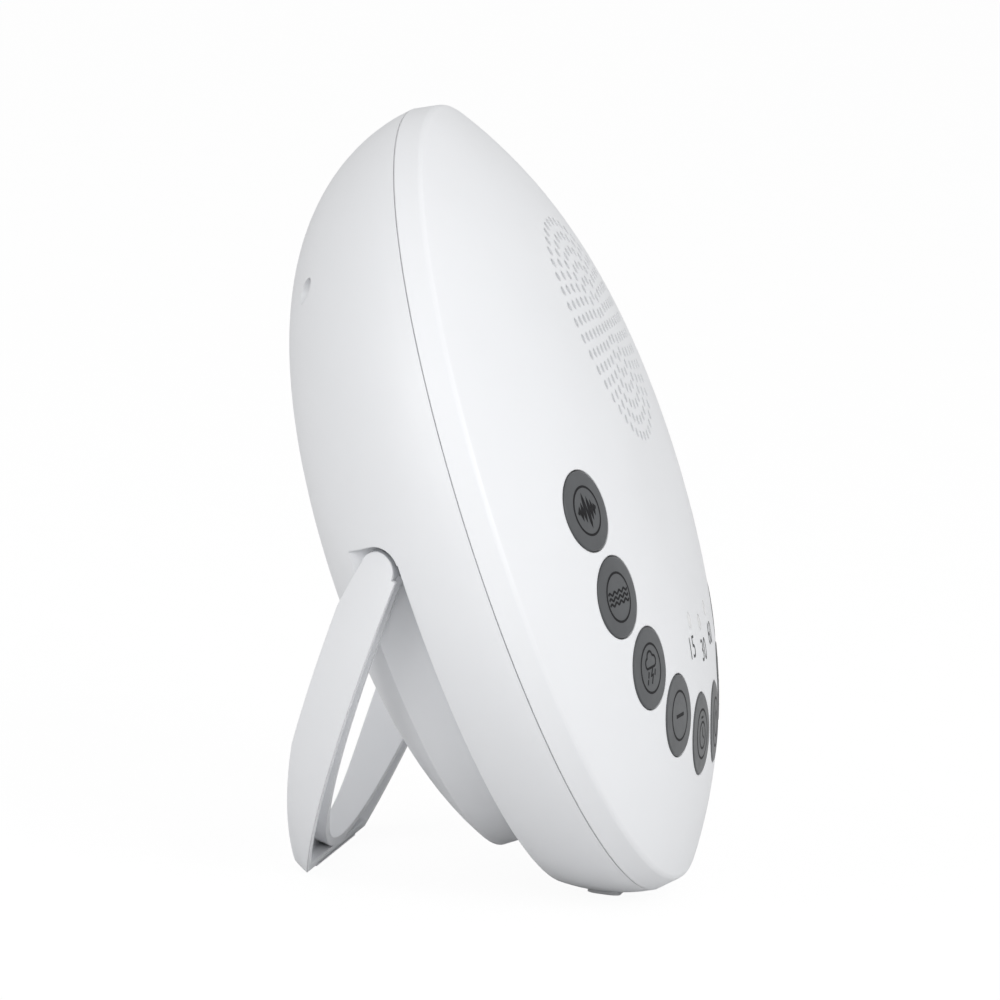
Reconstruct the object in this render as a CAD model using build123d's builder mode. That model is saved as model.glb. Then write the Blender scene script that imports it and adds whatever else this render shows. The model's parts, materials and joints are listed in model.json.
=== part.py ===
from build123d import *
import os
from math import asin, atan, atan2, cos, degrees, hypot, radians, sin, sqrt

# A round table-top sound machine. The case is two shallow domes that meet at a rim, and it leans
# back on a half-ring stand that folds flush into its rear cover. Ten push buttons run round the
# lower half of the front, under a perforated speaker grille.
#
# Lengths are millimetres and angles are degrees. The row frame has +Z up and the front facing -Y.
# The origin is the middle of the case's rubber foot, where it stands on the table.
#
# Inside the case every place is given in the face frame: x to the right and u up the face, both
# from the middle of the rim, and a height that is positive in front of the rim plane.

# ---------------------------------------------------------------- driving dimensions
# Case outline
rim_radius = 74.0
dome_rise = 18.6
back_depth = 39.4
outline_power = 3.0
outline_stations = 9
case_wall = 2.2
rim_inset = 1.0
rim_round = 1.4

# Seam between the two covers, with a lip on the front cover that locates the rear one
seam_depth = 4.0
seam_gap = 0.1
lip_length = 2.5
lip_thickness = 1.1
lip_gap = 0.15
seam_land = 1.4

# Stand and the recess that it folds into
stand_open = 39.6
step_depth = 18.7
recess_band = 16.0
pivot_below_step = 4.5
arm_end_radius = 3.4
stand_step_gap = 0.3
stand_side_gap = 0.6
notch_gap = 0.9
stand_power = 3.5
stand_rear_width = 1.8
stand_belly = 5.6
stand_belly_drop = 30.0
stand_toe = 3.6
stand_cut = 12.5
stand_skin = 1.6
stand_corner_round = 12.0
pin_radius = 2.0
pin_gap = 0.06
pin_length = 7.0
pivot_boss_radius = 4.4
pivot_boss_length = 4.5
arm_boss_radius = 3.2

# Rubber feet
foot_proud = 0.3
foot_thickness = 1.6
case_foot_length = 16.0
case_foot_width = 6.0
stand_foot_length = 40.0
stand_foot_width = 3.0

# Buttons
button_names = [
    "white_noise_button",
    "ocean_button",
    "rain_button",
    "volume_down_button",
    "timer_button",
    "power_button",
    "volume_up_button",
    "brook_button",
    "night_button",
    "fan_button",
]
button_inset = 24.5
button_pitch = 19.55
button_radius = 7.3
button_gap = 0.25
button_proud = 0.15
button_edge = 0.35
button_travel = 0.7
collar_depth = 1.1
collar_wall = 1.3
ear_reach = 1.3
ear_width = 12.0
ear_thickness = 1.2
ear_gap = 0.2
stem_radius = 1.5
stem_end_gap = 0.12

# Speaker grille
grille_pitch = 3.0
grille_rings = 7
grille_hole_radius = 0.85

# Speaker
speaker_flange_radius = 31.0
speaker_top_room = 17.0
speaker_flange_thickness = 1.0
speaker_flange_height = 5.8
speaker_seat_radius = 24.6
speaker_seat_width = 1.8
gasket_thickness = 0.8
speaker_screw_circle = 28.7
speaker_post_radius = 2.1
basket_wall = 0.8
magnet_gap = 0.8
basket_back_inset = 2.0
basket_window = 9.0
basket_rim = 1.6
magnet_radius = 18.0
magnet_thickness = 7.0
cone_mouth_radius = 20.5
cone_throat_radius = 7.0
cone_depth = 7.0
cone_thickness = 0.5
surround_width = 3.0
surround_thickness = 0.5
dust_cap_rise = 2.6

# Circuit board and what is on it
board_inset = 17.0
board_thickness = 1.6
board_height = 0.0
board_below_speaker = 33.0
board_post_spots = [(-24.0, -12.0), (24.0, -12.0), (-20.0, -30.0), (20.0, -30.0)]
board_post_radius = 2.4
switch_size = 6.0
switch_height = 3.5
plunger_radius = 1.7
plunger_height = 0.8
led_inset = 19.5
led_pitch = 18.0
led_count = 3
led_size = 1.6
led_thickness = 0.8
window_radius = 1.4
window_gap = 0.05
chip_size = 10.0
chip_height = 1.6
chip_drop = 36.0
capacitor_radius = 3.15
capacitor_length = 7.0
capacitor_round = 0.5
capacitor_spots = [(-14.0, -42.0), (14.0, -42.0)]

# Screws: the same thread form at three sizes
case_screw_upper_inset = 12.4
case_screw_upper_spread = 36.3
case_screw_lower_inset = 10.5
case_screw_lower_spread = 40.0
case_screw_seat = 12.0
case_screw_length = 12.0
case_screw_radius = 1.0
case_screw_head_radius = 1.8
case_screw_head_height = 1.4
access_hole_radius = 2.0
screw_boss_wall = 1.7
post_wall = 2.2
boss_meeting_depth = 6.5
boss_meeting_gap = 0.2
small_screw_radius = 0.7
board_screw_length = 5.0
speaker_screw_length = 3.5
small_screw_head_radius = 1.8
small_screw_head_height = 1.1
thread_gap = 0.05
shank_gap = 0.2
screw_head_round = 0.4
slot_width = 0.5
slot_length = 2.4
slot_depth = 0.5

# Battery bay, in the rear cover
cell_radius = 7.1
cell_length = 49.2
cell_pitch = 14.6
cell_count = 4
cell_nub_radius = 2.7
cell_nub_height = 1.3
bay_centre = -4.5
bay_rear_room = 23.4
bay_wall = 1.6
bay_side_gap = 0.5
contact_room = 3.4
contact_thickness = 0.4
contact_size = 9.0
spring_wire = 0.45
spring_turn_count = 3
spring_turn_pitch = 0.72
spring_radius = 4.2
spring_taper = 0.22
door_lap = 0.7
door_gap = 0.25
door_thickness = 2.0
door_corner = 5.0
ledge_width = 2.6
thumb_groove_radius = 9.0
thumb_groove_depth = 0.8

# Power socket, in the rear cover
jack_inset = 28.0
jack_rise = 15.0
jack_pocket_radius = 6.2
jack_pole_depth = 9.4
jack_floor = 2.0
jack_cup_wall = 1.8
jack_barrel_radius = 4.0
jack_bore_radius = 2.85
jack_bore_depth = 9.0
jack_pin_radius = 1.0
jack_length = 12.0
jack_nut_radius = 5.6
jack_nut_thickness = 2.0
jack_gap = 0.1

# ---------------------------------------------------------------- sizes that follow from those above
recess_radius = rim_radius - recess_band
stand_drop = rim_radius - stand_cut
button_circle = rim_radius - button_inset
led_circle = button_circle - led_inset
grille_rise = rim_radius - speaker_flange_radius - speaker_top_room
board_radius = rim_radius - board_inset
board_top_edge = grille_rise - board_below_speaker
bay_front_depth = back_depth - bay_rear_room
jack_spot = (rim_radius - jack_inset, jack_rise)
jack_pocket_depth = back_depth - jack_pole_depth


# ---------------------------------------------------------------- outline of the two domes
def front_point(radius, inset=0.0):
    """(radius, height) on the front dome, moved inwards along its normal."""
    height = dome_rise * (1 - (radius / rim_radius) ** outline_power)
    fall = outline_power * dome_rise * radius ** (outline_power - 1) / rim_radius**outline_power
    length = hypot(fall, 1)
    return (radius - inset * fall / length, height - inset / length)


def dome_tilt(radius):
    """Angle between the front dome's normal and the face's normal."""
    return degrees(atan(outline_power * dome_rise * radius ** (outline_power - 1) / rim_radius**outline_power))


def back_direction(angle, power=outline_power):
    """Outward normal (across, along) of the rear dome at a station angle."""
    radius = rim_radius * max(cos(radians(angle)), 0.0) ** (2 / power)
    across = power * radius ** (power - 1) / rim_radius**power
    along = 2 * sin(radians(angle)) / back_depth
    length = hypot(across, along)
    return (across / length, along / length)


def back_point(angle, inset=0.0, power=outline_power):
    """(radius, height) on the rear dome, moved inwards along its normal; 0 is the rim, 90 the pole."""
    radius = rim_radius * max(cos(radians(angle)), 0.0) ** (2 / power)
    across, along = back_direction(angle, power)
    return (max(radius - inset * across, 0.0), inset * along - back_depth * sin(radians(angle)))


def back_station(depth):
    """Station angle of the rear dome at a depth behind the rim plane."""
    return degrees(asin(depth / back_depth))


def back_depth_at(radius, power=outline_power):
    """Depth of the rear dome at a radius."""
    return back_depth * sqrt(1 - (radius / rim_radius) ** power)


def spread(first, last, count=outline_stations):
    """Evenly spaced values from first to last."""
    return [first + (last - first) * step / (count - 1) for step in range(count)]


# ---------------------------------------------------------------- how the case stands
pivot_depth = step_depth + pivot_below_step
stand_front_depth = step_depth + stand_step_gap
stand_inner_radius = recess_radius + stand_side_gap
stand_rear_depth = back_depth_at(stand_inner_radius + stand_rear_width, stand_power)
tip_ahead = pivot_depth - stand_front_depth
tip_u = -stand_drop * cos(radians(stand_open)) - tip_ahead * sin(radians(stand_open))
tip_height = -pivot_depth - stand_drop * sin(radians(stand_open)) + tip_ahead * cos(radians(stand_open))


def resting_station():
    """Station of the rear dome that touches the table when the stand's tip does too."""
    low = 0.0
    high = 60.0
    for _ in range(60):
        station = (low + high) / 2
        radius, height = back_point(station)
        across, along = back_direction(station)
        tip_clearance = (tip_u + radius) * across + (tip_height - height) * along
        if tip_clearance > 0:
            low = station
        else:
            high = station
    return low


touch_station = resting_station()
touch_radius, touch_height = back_point(touch_station)
lean_cos, lean_sin = back_direction(touch_station)
case_lean = degrees(atan2(lean_sin, lean_cos))

RIGHT = Vector(1, 0, 0)


def up_the_face(lean):
    return Vector(0, sin(radians(lean)), cos(radians(lean)))


def out_of_the_face(lean):
    return Vector(0, -cos(radians(lean)), sin(radians(lean)))


UP = up_the_face(case_lean)
OUT = out_of_the_face(case_lean)
RIM_CENTRE = Vector(0, 0, foot_proud) + UP * touch_radius - OUT * touch_height
PIVOT = RIM_CENTRE - OUT * pivot_depth

FACE = Plane(RIM_CENTRE, x_dir=RIGHT, z_dir=OUT)
SECTION = Plane(RIM_CENTRE, x_dir=RIGHT, z_dir=UP * -1)
TOP_SECTION = Plane(RIM_CENTRE, x_dir=UP, z_dir=RIGHT)
SIDE = Plane(PIVOT, x_dir=UP, z_dir=RIGHT)
AXLE = Axis(RIM_CENTRE, OUT)

# The stand is drawn in its own face frame, which lies on the case's when the stand is folded
stand_lean = case_lean - stand_open
STAND_UP = up_the_face(stand_lean)
STAND_OUT = out_of_the_face(stand_lean)
STAND_CENTRE = PIVOT + STAND_OUT * pivot_depth
STAND_FACE = Plane(STAND_CENTRE, x_dir=RIGHT, z_dir=STAND_OUT)
STAND_SECTION = Plane(STAND_CENTRE, x_dir=RIGHT, z_dir=STAND_UP * -1)
STAND_SIDE = Plane(PIVOT, x_dir=STAND_UP, z_dir=RIGHT)
STAND_AXLE = Axis(STAND_CENTRE, STAND_OUT)
STAND_TIP = RIM_CENTRE + UP * tip_u + OUT * tip_height

# Long enough to pass right through the case in any direction
THROUGH = 2 * (rim_radius + back_depth)


# ---------------------------------------------------------------- solids that trim the others
def front_hull(inset, section=SECTION):
    """Everything behind the front dome's outside, moved inwards by inset."""
    with BuildPart() as hull:
        with BuildSketch(section):
            with BuildLine():
                dome = Spline([front_point(r, inset) for r in spread(0, rim_radius)])
                Polyline(dome @ 1, ((dome @ 1).X, -back_depth), (0, -back_depth), dome @ 0)
            make_face()
        revolve(axis=AXLE)
    return hull.part


def back_bowl(inset, first_depth=0.0):
    """Everything in front of the rear dome's outside, moved inwards by inset."""
    with BuildPart() as bowl:
        with BuildSketch(SECTION):
            with BuildLine():
                dome = Spline([back_point(a, inset) for a in spread(back_station(first_depth), 90)])
                Polyline(dome @ 1, (0, (dome @ 0).Y), dome @ 0)
            make_face()
        revolve(axis=AXLE)
    return bowl.part


def stand_room(inset):
    """Room behind the step that the folded stand lies in, grown by inset."""
    with BuildPart() as room:
        with BuildSketch(FACE.offset(inset - step_depth)):
            with Locations((0, inset - THROUGH / 2)):
                Rectangle(THROUGH, THROUGH)
        extrude(amount=-THROUGH)
        with BuildSketch(SIDE):
            Circle(arm_end_radius + notch_gap + inset)
            with Locations((0, -THROUGH / 2)):
                Rectangle(2 * (arm_end_radius + notch_gap + inset), THROUGH)
            with Locations((0, pivot_below_step + inset + THROUGH / 2)):
                Rectangle(THROUGH, THROUGH, mode=Mode.SUBTRACT)
        extrude(amount=THROUGH / 2, both=True)
        with BuildSketch(FACE):
            Circle(recess_radius - inset)
        extrude(amount=THROUGH, both=True, mode=Mode.SUBTRACT)
    return room.part


def rear_hull(inset, first_depth):
    """The rear cover's outside with the stand's recess taken out, moved inwards by inset."""
    bowl = back_bowl(inset, first_depth)
    room = stand_room(inset)
    with BuildPart() as hull:
        add(bowl)
        add(room, mode=Mode.SUBTRACT)
    return hull.part


def stand_hull(inset, first_depth):
    """Half ring that fills the recess behind the step, moved inwards by inset."""
    inner_radius = stand_inner_radius + inset
    last_depth = stand_rear_depth - inset
    with BuildPart() as hull:
        with BuildSketch(STAND_SECTION):
            with BuildLine():
                stations = spread(back_station(first_depth), back_station(last_depth))
                dome = Spline([back_point(a, inset, stand_power) for a in stations])
                Polyline(
                    dome @ 1,
                    (inner_radius, (dome @ 1).Y),
                    (inner_radius, (dome @ 0).Y),
                    dome @ 0,
                )
            make_face()
        revolve(axis=STAND_AXLE)
        # Side outline: a round end at the pivot, a belly behind it and a narrow toe
        with BuildSketch(STAND_SIDE):
            with BuildLine():
                belly = Spline(
                    (0, inset - arm_end_radius),
                    (-stand_belly_drop, inset - stand_belly),
                    (-stand_drop, inset + tip_ahead - stand_toe),
                )
                Polyline(belly @ 1, (-stand_drop, THROUGH / 2), (0, THROUGH / 2), belly @ 0)
            make_face()
            Circle(arm_end_radius - inset)
        extrude(amount=THROUGH / 2, both=True, mode=Mode.INTERSECT)
        with BuildSketch(STAND_FACE) as plan:
            Circle(rim_radius - inset)
            with Locations((0, inset - stand_drop - THROUGH / 2)):
                Rectangle(THROUGH, THROUGH, mode=Mode.SUBTRACT)
            fillet(plan.vertices(), stand_corner_round)
        extrude(amount=THROUGH / 2, both=True, mode=Mode.INTERSECT)
    return hull.part


# ---------------------------------------------------------------- places round the face
def round_the_face(radius, angle):
    """(x, u) at a radius and an angle from the right, turning upwards."""
    return (radius * cos(radians(angle)), radius * sin(radians(angle)))


def dome_plane(radius, angle):
    """Plane on the front dome: x runs round the face, z is the dome's normal."""
    x, u = round_the_face(radius, angle)
    outward = RIGHT * cos(radians(angle)) + UP * sin(radians(angle))
    around = UP * cos(radians(angle)) - RIGHT * sin(radians(angle))
    tilt = radians(dome_tilt(radius))
    origin = RIM_CENTRE + RIGHT * x + UP * u + OUT * front_point(radius)[1]
    return Plane(origin, x_dir=around, z_dir=OUT * cos(tilt) + outward * sin(tilt))


button_angles = [-90 + button_pitch * (i - (len(button_names) - 1) / 2) for i in range(len(button_names))]
button_planes = [dome_plane(button_circle, angle) for angle in button_angles]
button_tilt = radians(dome_tilt(button_circle))
led_spots = [round_the_face(led_circle, -90 + led_pitch * (i - (led_count - 1) / 2)) for i in range(led_count)]
case_screw_spots = [
    round_the_face(rim_radius - case_screw_upper_inset, 90 + case_screw_upper_spread),
    round_the_face(rim_radius - case_screw_upper_inset, 90 - case_screw_upper_spread),
    round_the_face(rim_radius - case_screw_lower_inset, -90 - case_screw_lower_spread),
    round_the_face(rim_radius - case_screw_lower_inset, -90 + case_screw_lower_spread),
]
speaker_screw_spots = [
    (x, grille_rise + u) for x, u in [round_the_face(speaker_screw_circle, 45 + 90 * i) for i in range(4)]
]

# Heights that several pieces share
collar_end = case_wall + collar_depth
ear_top = collar_end + ear_gap
seat_height = speaker_flange_height + gasket_thickness
switch_top = board_height + switch_height + plunger_height
lip_radius = back_point(back_station(seam_depth))[0] - seam_land - lip_gap
lip_end = seam_depth + lip_length

# ---------------------------------------------------------------- front cover
front_trim = front_hull(case_wall / 2)

with BuildPart() as front_cover:
    # Posts and rings on the inside, run up into the dome and trimmed inside its wall
    with BuildSketch(FACE.offset(-boss_meeting_depth)):
        with Locations(case_screw_spots):
            Circle(case_screw_radius + post_wall)
    extrude(amount=THROUGH)
    with BuildSketch(FACE.offset(board_height)):
        with Locations(board_post_spots):
            Circle(board_post_radius)
    extrude(amount=THROUGH)
    with BuildSketch(FACE.offset(speaker_flange_height)):
        with Locations(speaker_screw_spots):
            Circle(speaker_post_radius)
    extrude(amount=THROUGH)
    with BuildSketch(FACE.offset(seat_height)):
        with Locations((0, grille_rise)):
            Circle(speaker_seat_radius + speaker_seat_width)
            Circle(speaker_seat_radius, mode=Mode.SUBTRACT)
    extrude(amount=THROUGH)
    add(front_trim, mode=Mode.INTERSECT)
    # Collars that guide the buttons
    for plane in button_planes:
        with BuildSketch(plane.offset(-collar_end)):
            Circle(button_radius + button_gap + collar_wall)
        extrude(amount=collar_end - case_wall / 2)
    # Dome, rim and lip
    with BuildSketch(SECTION):
        with BuildLine():
            outside = Spline([front_point(r) for r in spread(0, rim_radius - rim_inset)])
            inside = Spline([front_point(r, case_wall) for r in spread(0, rim_radius - rim_inset - case_wall)])
            Polyline(
                outside @ 1,
                (back_point(back_station(seam_depth))[0], -seam_depth),
                (lip_radius, -seam_depth),
                (lip_radius, -lip_end),
                (lip_radius - lip_thickness, -lip_end),
                inside @ 1,
            )
            Line(inside @ 0, outside @ 0)
        make_face()
    revolve(axis=AXLE)
    edge_radius, edge_height = front_point(rim_radius - rim_inset)
    rim_point = RIM_CENTRE + RIGHT * edge_radius + OUT * edge_height
    rim_edge = front_cover.edges().filter_by(GeomType.CIRCLE).sort_by_distance(rim_point)[0]
    fillet(rim_edge, rim_round)
    # Button holes
    for plane in button_planes:
        with BuildSketch(plane.offset(-collar_end)):
            Circle(button_radius + button_gap)
        extrude(amount=2 * collar_end, mode=Mode.SUBTRACT)
    # Grille
    with BuildSketch(FACE.offset(seat_height)):
        with Locations((0, grille_rise)):
            Circle(grille_hole_radius)
            for ring in range(1, grille_rings + 1):
                with PolarLocations(ring * grille_pitch, 6 * ring):
                    Circle(grille_hole_radius)
    extrude(amount=THROUGH, mode=Mode.SUBTRACT)
    # Timer light windows
    with BuildSketch(FACE.offset(board_height)):
        with Locations(led_spots):
            Circle(window_radius + window_gap)
    extrude(amount=THROUGH, mode=Mode.SUBTRACT)
    # Pilot holes for the screws
    with BuildSketch(FACE.offset(-boss_meeting_depth)):
        with Locations(case_screw_spots):
            Circle(case_screw_radius + thread_gap)
    extrude(amount=boss_meeting_depth + thread_gap, mode=Mode.SUBTRACT)
    with BuildSketch(FACE.offset(board_height)):
        with Locations(board_post_spots):
            Circle(small_screw_radius + thread_gap)
    extrude(amount=board_screw_length, mode=Mode.SUBTRACT)
    with BuildSketch(FACE.offset(speaker_flange_height)):
        with Locations(speaker_screw_spots):
            Circle(small_screw_radius + thread_gap)
    extrude(amount=speaker_screw_length, mode=Mode.SUBTRACT)

front_cover.part.label = "front_cover"

# ---------------------------------------------------------------- case foot
with BuildPart() as case_foot:
    with BuildSketch():
        RectangleRounded(case_foot_length, case_foot_width, case_foot_width / 3)
    extrude(amount=foot_thickness + foot_proud)

case_foot.part.label = "case_foot"

# ---------------------------------------------------------------- battery bay sizes
bay_width = cell_count * cell_pitch + 2 * bay_side_gap
bay_height = cell_length + cell_nub_height + 2 * contact_room
door_width = bay_width + 2 * (bay_wall + door_lap)
door_height = bay_height + 2 * (bay_wall + door_lap)
bay_floor_depth = bay_front_depth + bay_wall
cell_axis_depth = bay_floor_depth + bay_side_gap + cell_radius

# ---------------------------------------------------------------- rear cover
rear_top = seam_depth + seam_gap
rear_outside = rear_hull(0.0, rear_top)
rear_inside = rear_hull(case_wall, rear_top)
outer_bowl = back_bowl(0.0, rear_top)
ledge_bowl = back_bowl(case_wall, rear_top)
ledge_inside = back_bowl(case_wall + bay_wall, rear_top)

# Bosses that meet the front cover's posts, and the cup round the power socket
with BuildPart() as rear_bosses:
    with BuildSketch(FACE.offset(-boss_meeting_depth - boss_meeting_gap)):
        with Locations(case_screw_spots):
            Circle(access_hole_radius + screw_boss_wall)
    extrude(amount=-THROUGH)
    with BuildSketch(FACE.offset(jack_floor - jack_pocket_depth)):
        with Locations(jack_spot):
            Circle(jack_pocket_radius + jack_cup_wall)
    extrude(amount=-THROUGH)
    add(rear_outside, mode=Mode.INTERSECT)

# Walled box for the cells, with a ledge under the edge of the door
with BuildPart() as bay_ledge:
    with BuildSketch(FACE.offset(-bay_front_depth)):
        with Locations((0, bay_centre)):
            RectangleRounded(door_width + 2 * ledge_width, door_height + 2 * ledge_width, door_corner)
    extrude(amount=-THROUGH)
    add(ledge_bowl, mode=Mode.INTERSECT)
    add(ledge_inside, mode=Mode.SUBTRACT)

with BuildPart() as battery_bay:
    with BuildSketch(FACE.offset(-bay_front_depth)):
        with Locations((0, bay_centre)):
            Rectangle(bay_width + 2 * bay_wall, bay_height + 2 * bay_wall)
    extrude(amount=-THROUGH)
    add(ledge_bowl, mode=Mode.INTERSECT)
    add(bay_ledge.part)
    with BuildSketch(FACE.offset(-bay_floor_depth)):
        with Locations((0, bay_centre)):
            Rectangle(bay_width, bay_height)
    extrude(amount=-THROUGH, mode=Mode.SUBTRACT)

with BuildPart() as rear_cover:
    add(rear_outside)
    add(rear_inside, mode=Mode.SUBTRACT)
    # Rebate for the front cover's lip
    with BuildSketch(SECTION):
        with BuildLine():
            Polyline(
                (0, -seam_depth),
                (lip_radius + lip_gap, -seam_depth),
                (lip_radius + lip_gap, -lip_end - lip_gap),
                (0, -lip_end - lip_gap),
                close=True,
            )
        make_face()
    revolve(axis=AXLE, mode=Mode.SUBTRACT)
    # Door opening
    with BuildSketch(FACE.offset(-bay_floor_depth)):
        with Locations((0, bay_centre)):
            RectangleRounded(door_width + 2 * door_gap, door_height + 2 * door_gap, door_corner)
    extrude(amount=-THROUGH, mode=Mode.SUBTRACT)
    add(battery_bay.part)
    add(rear_bosses.part)
    # Bearings for the stand's pins
    for side in (-1, 1):
        with BuildSketch(SIDE.offset(side * (recess_radius - case_wall - pivot_boss_length))):
            Circle(pivot_boss_radius)
        extrude(amount=side * (pivot_boss_length + case_wall / 2))
        with BuildSketch(SIDE.offset(side * recess_radius / 2)):
            Circle(pin_radius + pin_gap)
        extrude(amount=side * recess_radius, mode=Mode.SUBTRACT)
    # Screw access holes, and the clearance holes that their screws pass through
    with BuildSketch(FACE.offset(-case_screw_seat)):
        with Locations(case_screw_spots):
            Circle(access_hole_radius)
    extrude(amount=-THROUGH, mode=Mode.SUBTRACT)
    with BuildSketch(FACE):
        with Locations(case_screw_spots):
            Circle(case_screw_radius + shank_gap)
    extrude(amount=-THROUGH, mode=Mode.SUBTRACT)
    # Power socket: a flat-floored pocket with a hole for the barrel
    with BuildSketch(FACE.offset(-jack_pocket_depth)):
        with Locations(jack_spot):
            Circle(jack_pocket_radius)
    extrude(amount=-THROUGH, mode=Mode.SUBTRACT)
    with BuildSketch(FACE.offset(jack_floor - jack_pocket_depth)):
        with Locations(jack_spot):
            Circle(jack_barrel_radius + jack_gap)
    extrude(amount=-THROUGH, mode=Mode.SUBTRACT)
    add(case_foot.part, mode=Mode.SUBTRACT)

rear_cover.part.label = "rear_cover"

# ---------------------------------------------------------------- battery door
door_inside = back_bowl(door_thickness, rear_top)

with BuildPart() as battery_door:
    with BuildSketch(FACE.offset(-bay_floor_depth)):
        with Locations((0, bay_centre)):
            RectangleRounded(door_width, door_height, door_corner - door_gap)
    extrude(amount=-THROUGH)
    add(outer_bowl, mode=Mode.INTERSECT)
    add(door_inside, mode=Mode.SUBTRACT)
    # Thumb groove near the lower edge
    groove_u = bay_centre - door_height / 4
    groove_sink = thumb_groove_radius - thumb_groove_depth
    groove_depth = back_depth_at(abs(groove_u)) + groove_sink
    with BuildSketch(SIDE):
        with Locations((groove_u, pivot_depth - groove_depth)):
            Circle(thumb_groove_radius)
    extrude(amount=thumb_groove_radius, both=True, mode=Mode.SUBTRACT)

battery_door.part.label = "battery_door"

# ---------------------------------------------------------------- stand
stand_outside = stand_hull(0.0, stand_front_depth)
stand_channel = stand_hull(stand_skin, stand_front_depth - stand_skin)

with BuildPart() as stand_foot:
    with BuildSketch():
        with Locations((0, STAND_TIP.Y + stand_foot_width / 2)):
            Rectangle(stand_foot_length, stand_foot_width)
    extrude(amount=foot_thickness)

stand_foot.part.label = "stand_foot"

# What is hollowed out of the stand, short of the bosses that carry its pins
with BuildPart() as stand_hollow:
    add(stand_channel)
    with BuildSketch(STAND_SIDE):
        Circle(arm_boss_radius)
    extrude(amount=THROUGH / 2, both=True, mode=Mode.SUBTRACT)

with BuildPart() as stand:
    add(stand_outside)
    add(stand_hollow.part, mode=Mode.SUBTRACT)
    for side in (-1, 1):
        with BuildSketch(STAND_SIDE.offset(side * (stand_inner_radius + stand_skin / 2))):
            Circle(pin_radius)
        extrude(amount=-side * pin_length)
    add(stand_foot.part, mode=Mode.SUBTRACT)

stand.part.label = "stand"

# ---------------------------------------------------------------- buttons
buttons = {}
stem_end = (
    front_point(button_circle)[1]
    - switch_top
    - stem_end_gap
    - button_travel * cos(button_tilt)
    - stem_radius * sin(button_tilt)
) / cos(button_tilt)

# The caps follow the dome. Their trim starts at the top, so that its seam misses every cap
cap_trim = front_hull(-button_proud, TOP_SECTION)

for name, plane in zip(button_names, button_planes):
    with BuildPart() as button:
        with BuildSketch(plane.offset(-ear_top)):
            Circle(button_radius)
        extrude(amount=2 * ear_top)
        add(cap_trim, mode=Mode.INTERSECT)
        top_edge = button.edges().sort_by(Axis(plane.origin, plane.z_dir))[-1]
        fillet(top_edge, button_edge)
        # Ears that keep the cap in, towards the middle and the rim only
        with BuildSketch(plane.offset(-ear_top)):
            Circle(button_radius + ear_reach)
            Rectangle(ear_width, THROUGH, mode=Mode.INTERSECT)
        extrude(amount=-ear_thickness)
        with BuildSketch(plane.offset(-ear_top)):
            Circle(stem_radius)
        extrude(amount=ear_top - stem_end)
    button.part.label = name
    buttons[name] = button

# ---------------------------------------------------------------- speaker
SPEAKER = Plane(RIM_CENTRE + UP * grille_rise, x_dir=RIGHT, z_dir=OUT)
SPEAKER_SECTION = Plane(SPEAKER.origin, x_dir=RIGHT, z_dir=UP * -1)
SPEAKER_AXLE = Axis(SPEAKER.origin, OUT)
flange_back = speaker_flange_height - speaker_flange_thickness
surround_outer = cone_mouth_radius + surround_width
basket_end = magnet_gap + magnet_thickness - bay_front_depth
basket_base_radius = magnet_radius - basket_back_inset

with BuildPart() as speaker_gasket:
    with BuildSketch(SPEAKER.offset(speaker_flange_height)):
        Circle(speaker_seat_radius + speaker_seat_width)
        Circle(speaker_seat_radius, mode=Mode.SUBTRACT)
    extrude(amount=gasket_thickness)

speaker_gasket.part.label = "speaker_gasket"

with BuildPart() as speaker_frame:
    with BuildSketch(SPEAKER_SECTION):
        with BuildLine():
            Polyline(
                (surround_outer, speaker_flange_height),
                (speaker_flange_radius, speaker_flange_height),
                (speaker_flange_radius, flange_back),
                (surround_outer + basket_wall, flange_back),
                (basket_base_radius + basket_wall, basket_end),
                (cone_throat_radius, basket_end),
                (cone_throat_radius, basket_end + basket_wall),
                (basket_base_radius, basket_end + basket_wall),
                (surround_outer, flange_back),
                close=True,
            )
        make_face()
    revolve(axis=SPEAKER_AXLE)
    # Windows in the basket
    with BuildSketch(SPEAKER.offset(basket_end + basket_wall)):
        with PolarLocations(speaker_flange_radius / 2, 6):
            Rectangle(speaker_flange_radius, basket_window)
        Circle(basket_base_radius / 2, mode=Mode.SUBTRACT)
    extrude(amount=flange_back - basket_end - 2 * basket_wall - basket_rim, mode=Mode.SUBTRACT)
    with BuildSketch(SPEAKER):
        with PolarLocations(speaker_screw_circle, 4, start_angle=45):
            Circle(small_screw_radius + shank_gap)
    extrude(amount=speaker_flange_height, mode=Mode.SUBTRACT)

speaker_frame.part.label = "speaker_frame"

with BuildPart() as speaker_magnet:
    with BuildSketch(SPEAKER.offset(basket_end)):
        Circle(magnet_radius)
    extrude(amount=-magnet_thickness)
    chamfer(speaker_magnet.edges().filter_by(GeomType.CIRCLE), basket_wall)

speaker_magnet.part.label = "speaker_magnet"

cone_top = speaker_flange_height - surround_thickness

with BuildPart() as speaker_surround:
    with BuildSketch(SPEAKER_SECTION):
        with BuildLine():
            roll = ThreePointArc(
                (cone_mouth_radius, cone_top),
                (cone_mouth_radius + surround_width / 2, cone_top + surround_width / 2),
                (surround_outer, cone_top),
            )
            under = ThreePointArc(
                (cone_mouth_radius + surround_thickness, cone_top),
                (cone_mouth_radius + surround_width / 2, cone_top + surround_width / 2 - surround_thickness),
                (surround_outer - surround_thickness, cone_top),
            )
            Line(roll @ 0, under @ 0)
            Line(roll @ 1, under @ 1)
        make_face()
    revolve(axis=SPEAKER_AXLE)

speaker_surround.part.label = "speaker_surround"

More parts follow.
